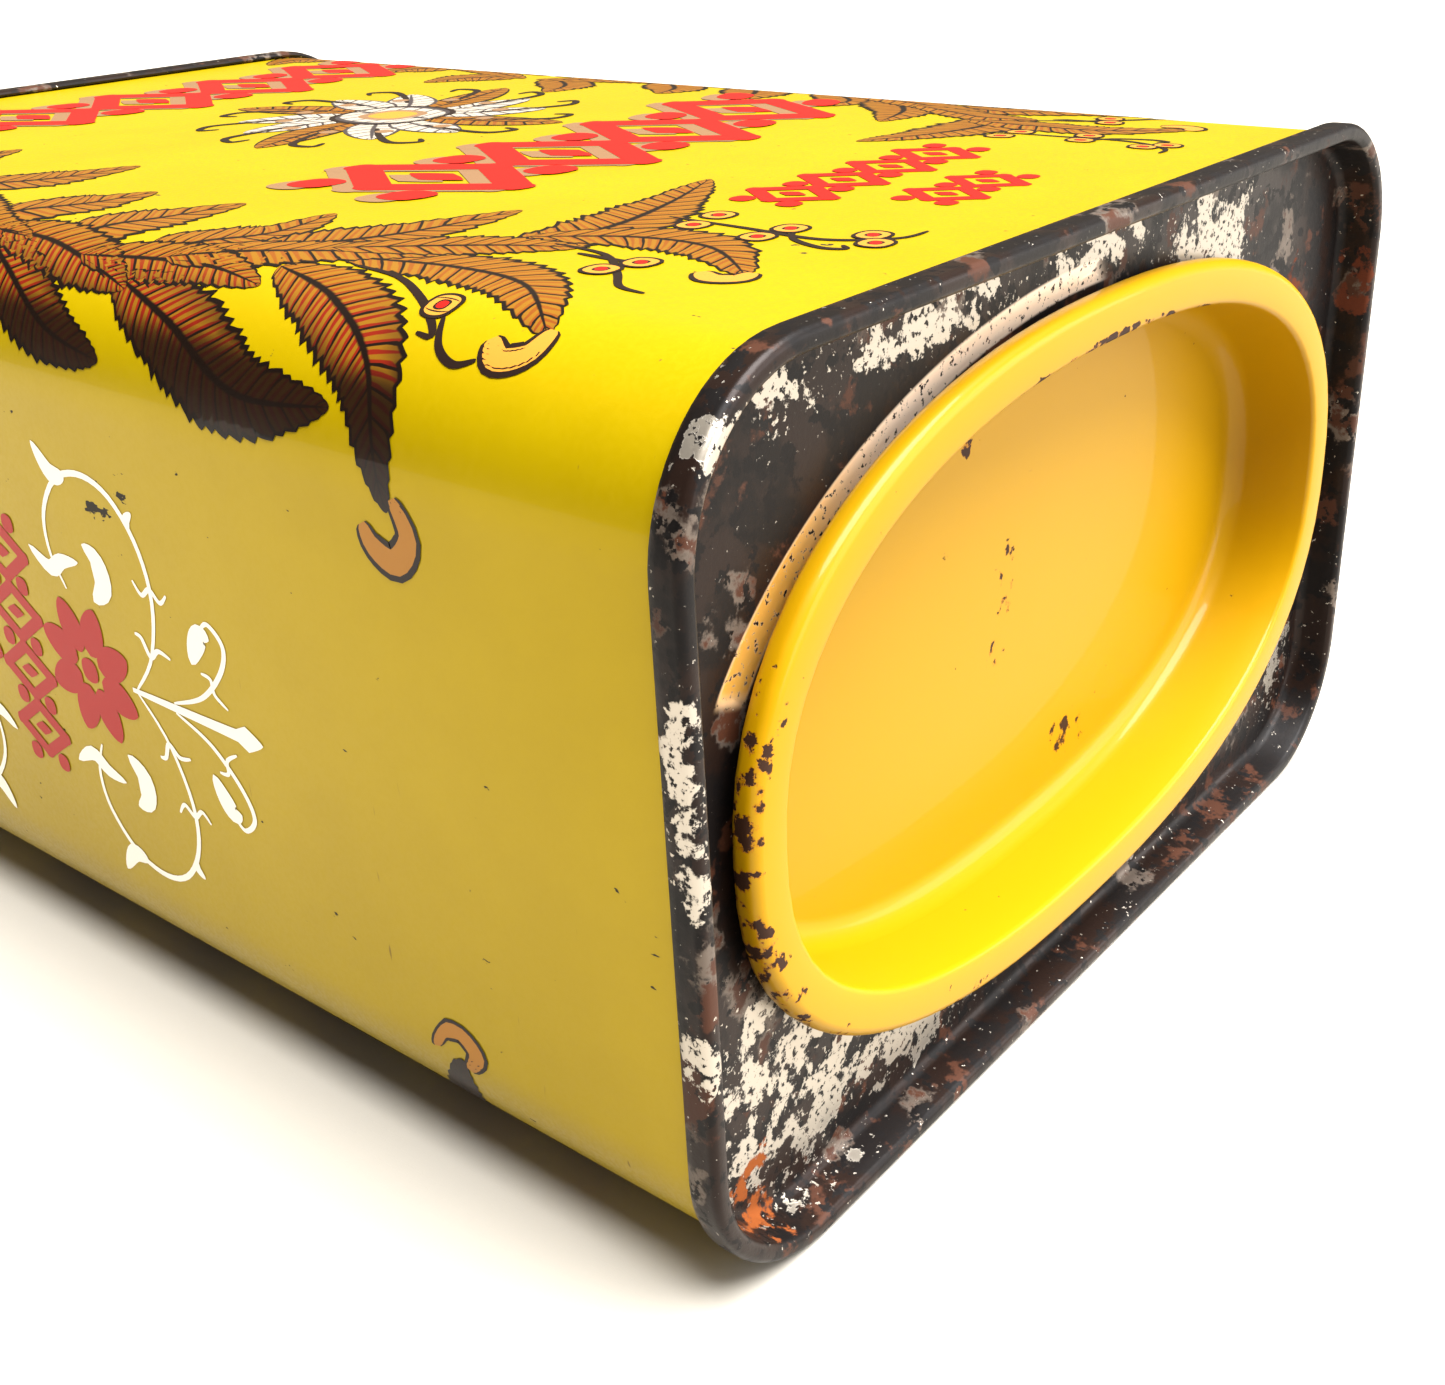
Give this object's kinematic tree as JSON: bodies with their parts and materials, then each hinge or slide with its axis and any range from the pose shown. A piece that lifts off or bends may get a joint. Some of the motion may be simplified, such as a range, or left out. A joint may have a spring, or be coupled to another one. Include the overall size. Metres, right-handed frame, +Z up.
{
  "type": "lever-lid tin",
  "caption": "Oblong printed tinplate tin with double-seamed ends and an oval press-in lever lid, lying on its back face.",
  "frame": {"origin": "centre of the underside of the box the tin fills, lying on its back face", "axes": "+X across the tin's width, +Y from the lid end to the base end, +Z up through its thickness"},
  "size_m": [0.102, 0.15, 0.0655],
  "materials": {
    "printed_tinplate": "glossy litho varnish over yellow ink",
    "yellow_enamel": "glossy yellow enamel with small chips",
    "aged_tinplate": "dark worn tinplate with bright tin and rust patches",
    "solder": "dull grey solder",
    "sealing_compound": "matt dried compound"
  },
  "bodies": {
    "tin": {"body_wall": "printed_tinplate", "side_seam_solder": "solder", "lid_end": "aged_tinplate", "lid_end_seam_compound": "sealing_compound", "base_end": "aged_tinplate", "base_end_seam_compound": "sealing_compound"},
    "lid": {"lever_lid": "yellow_enamel"}
  },
  "joints": [
    {"name": "lid_slide", "type": "slide", "parent": "tin", "child": "lid", "axis": [0, -1, 0], "range_m": [0, 0.04]}
  ]
}
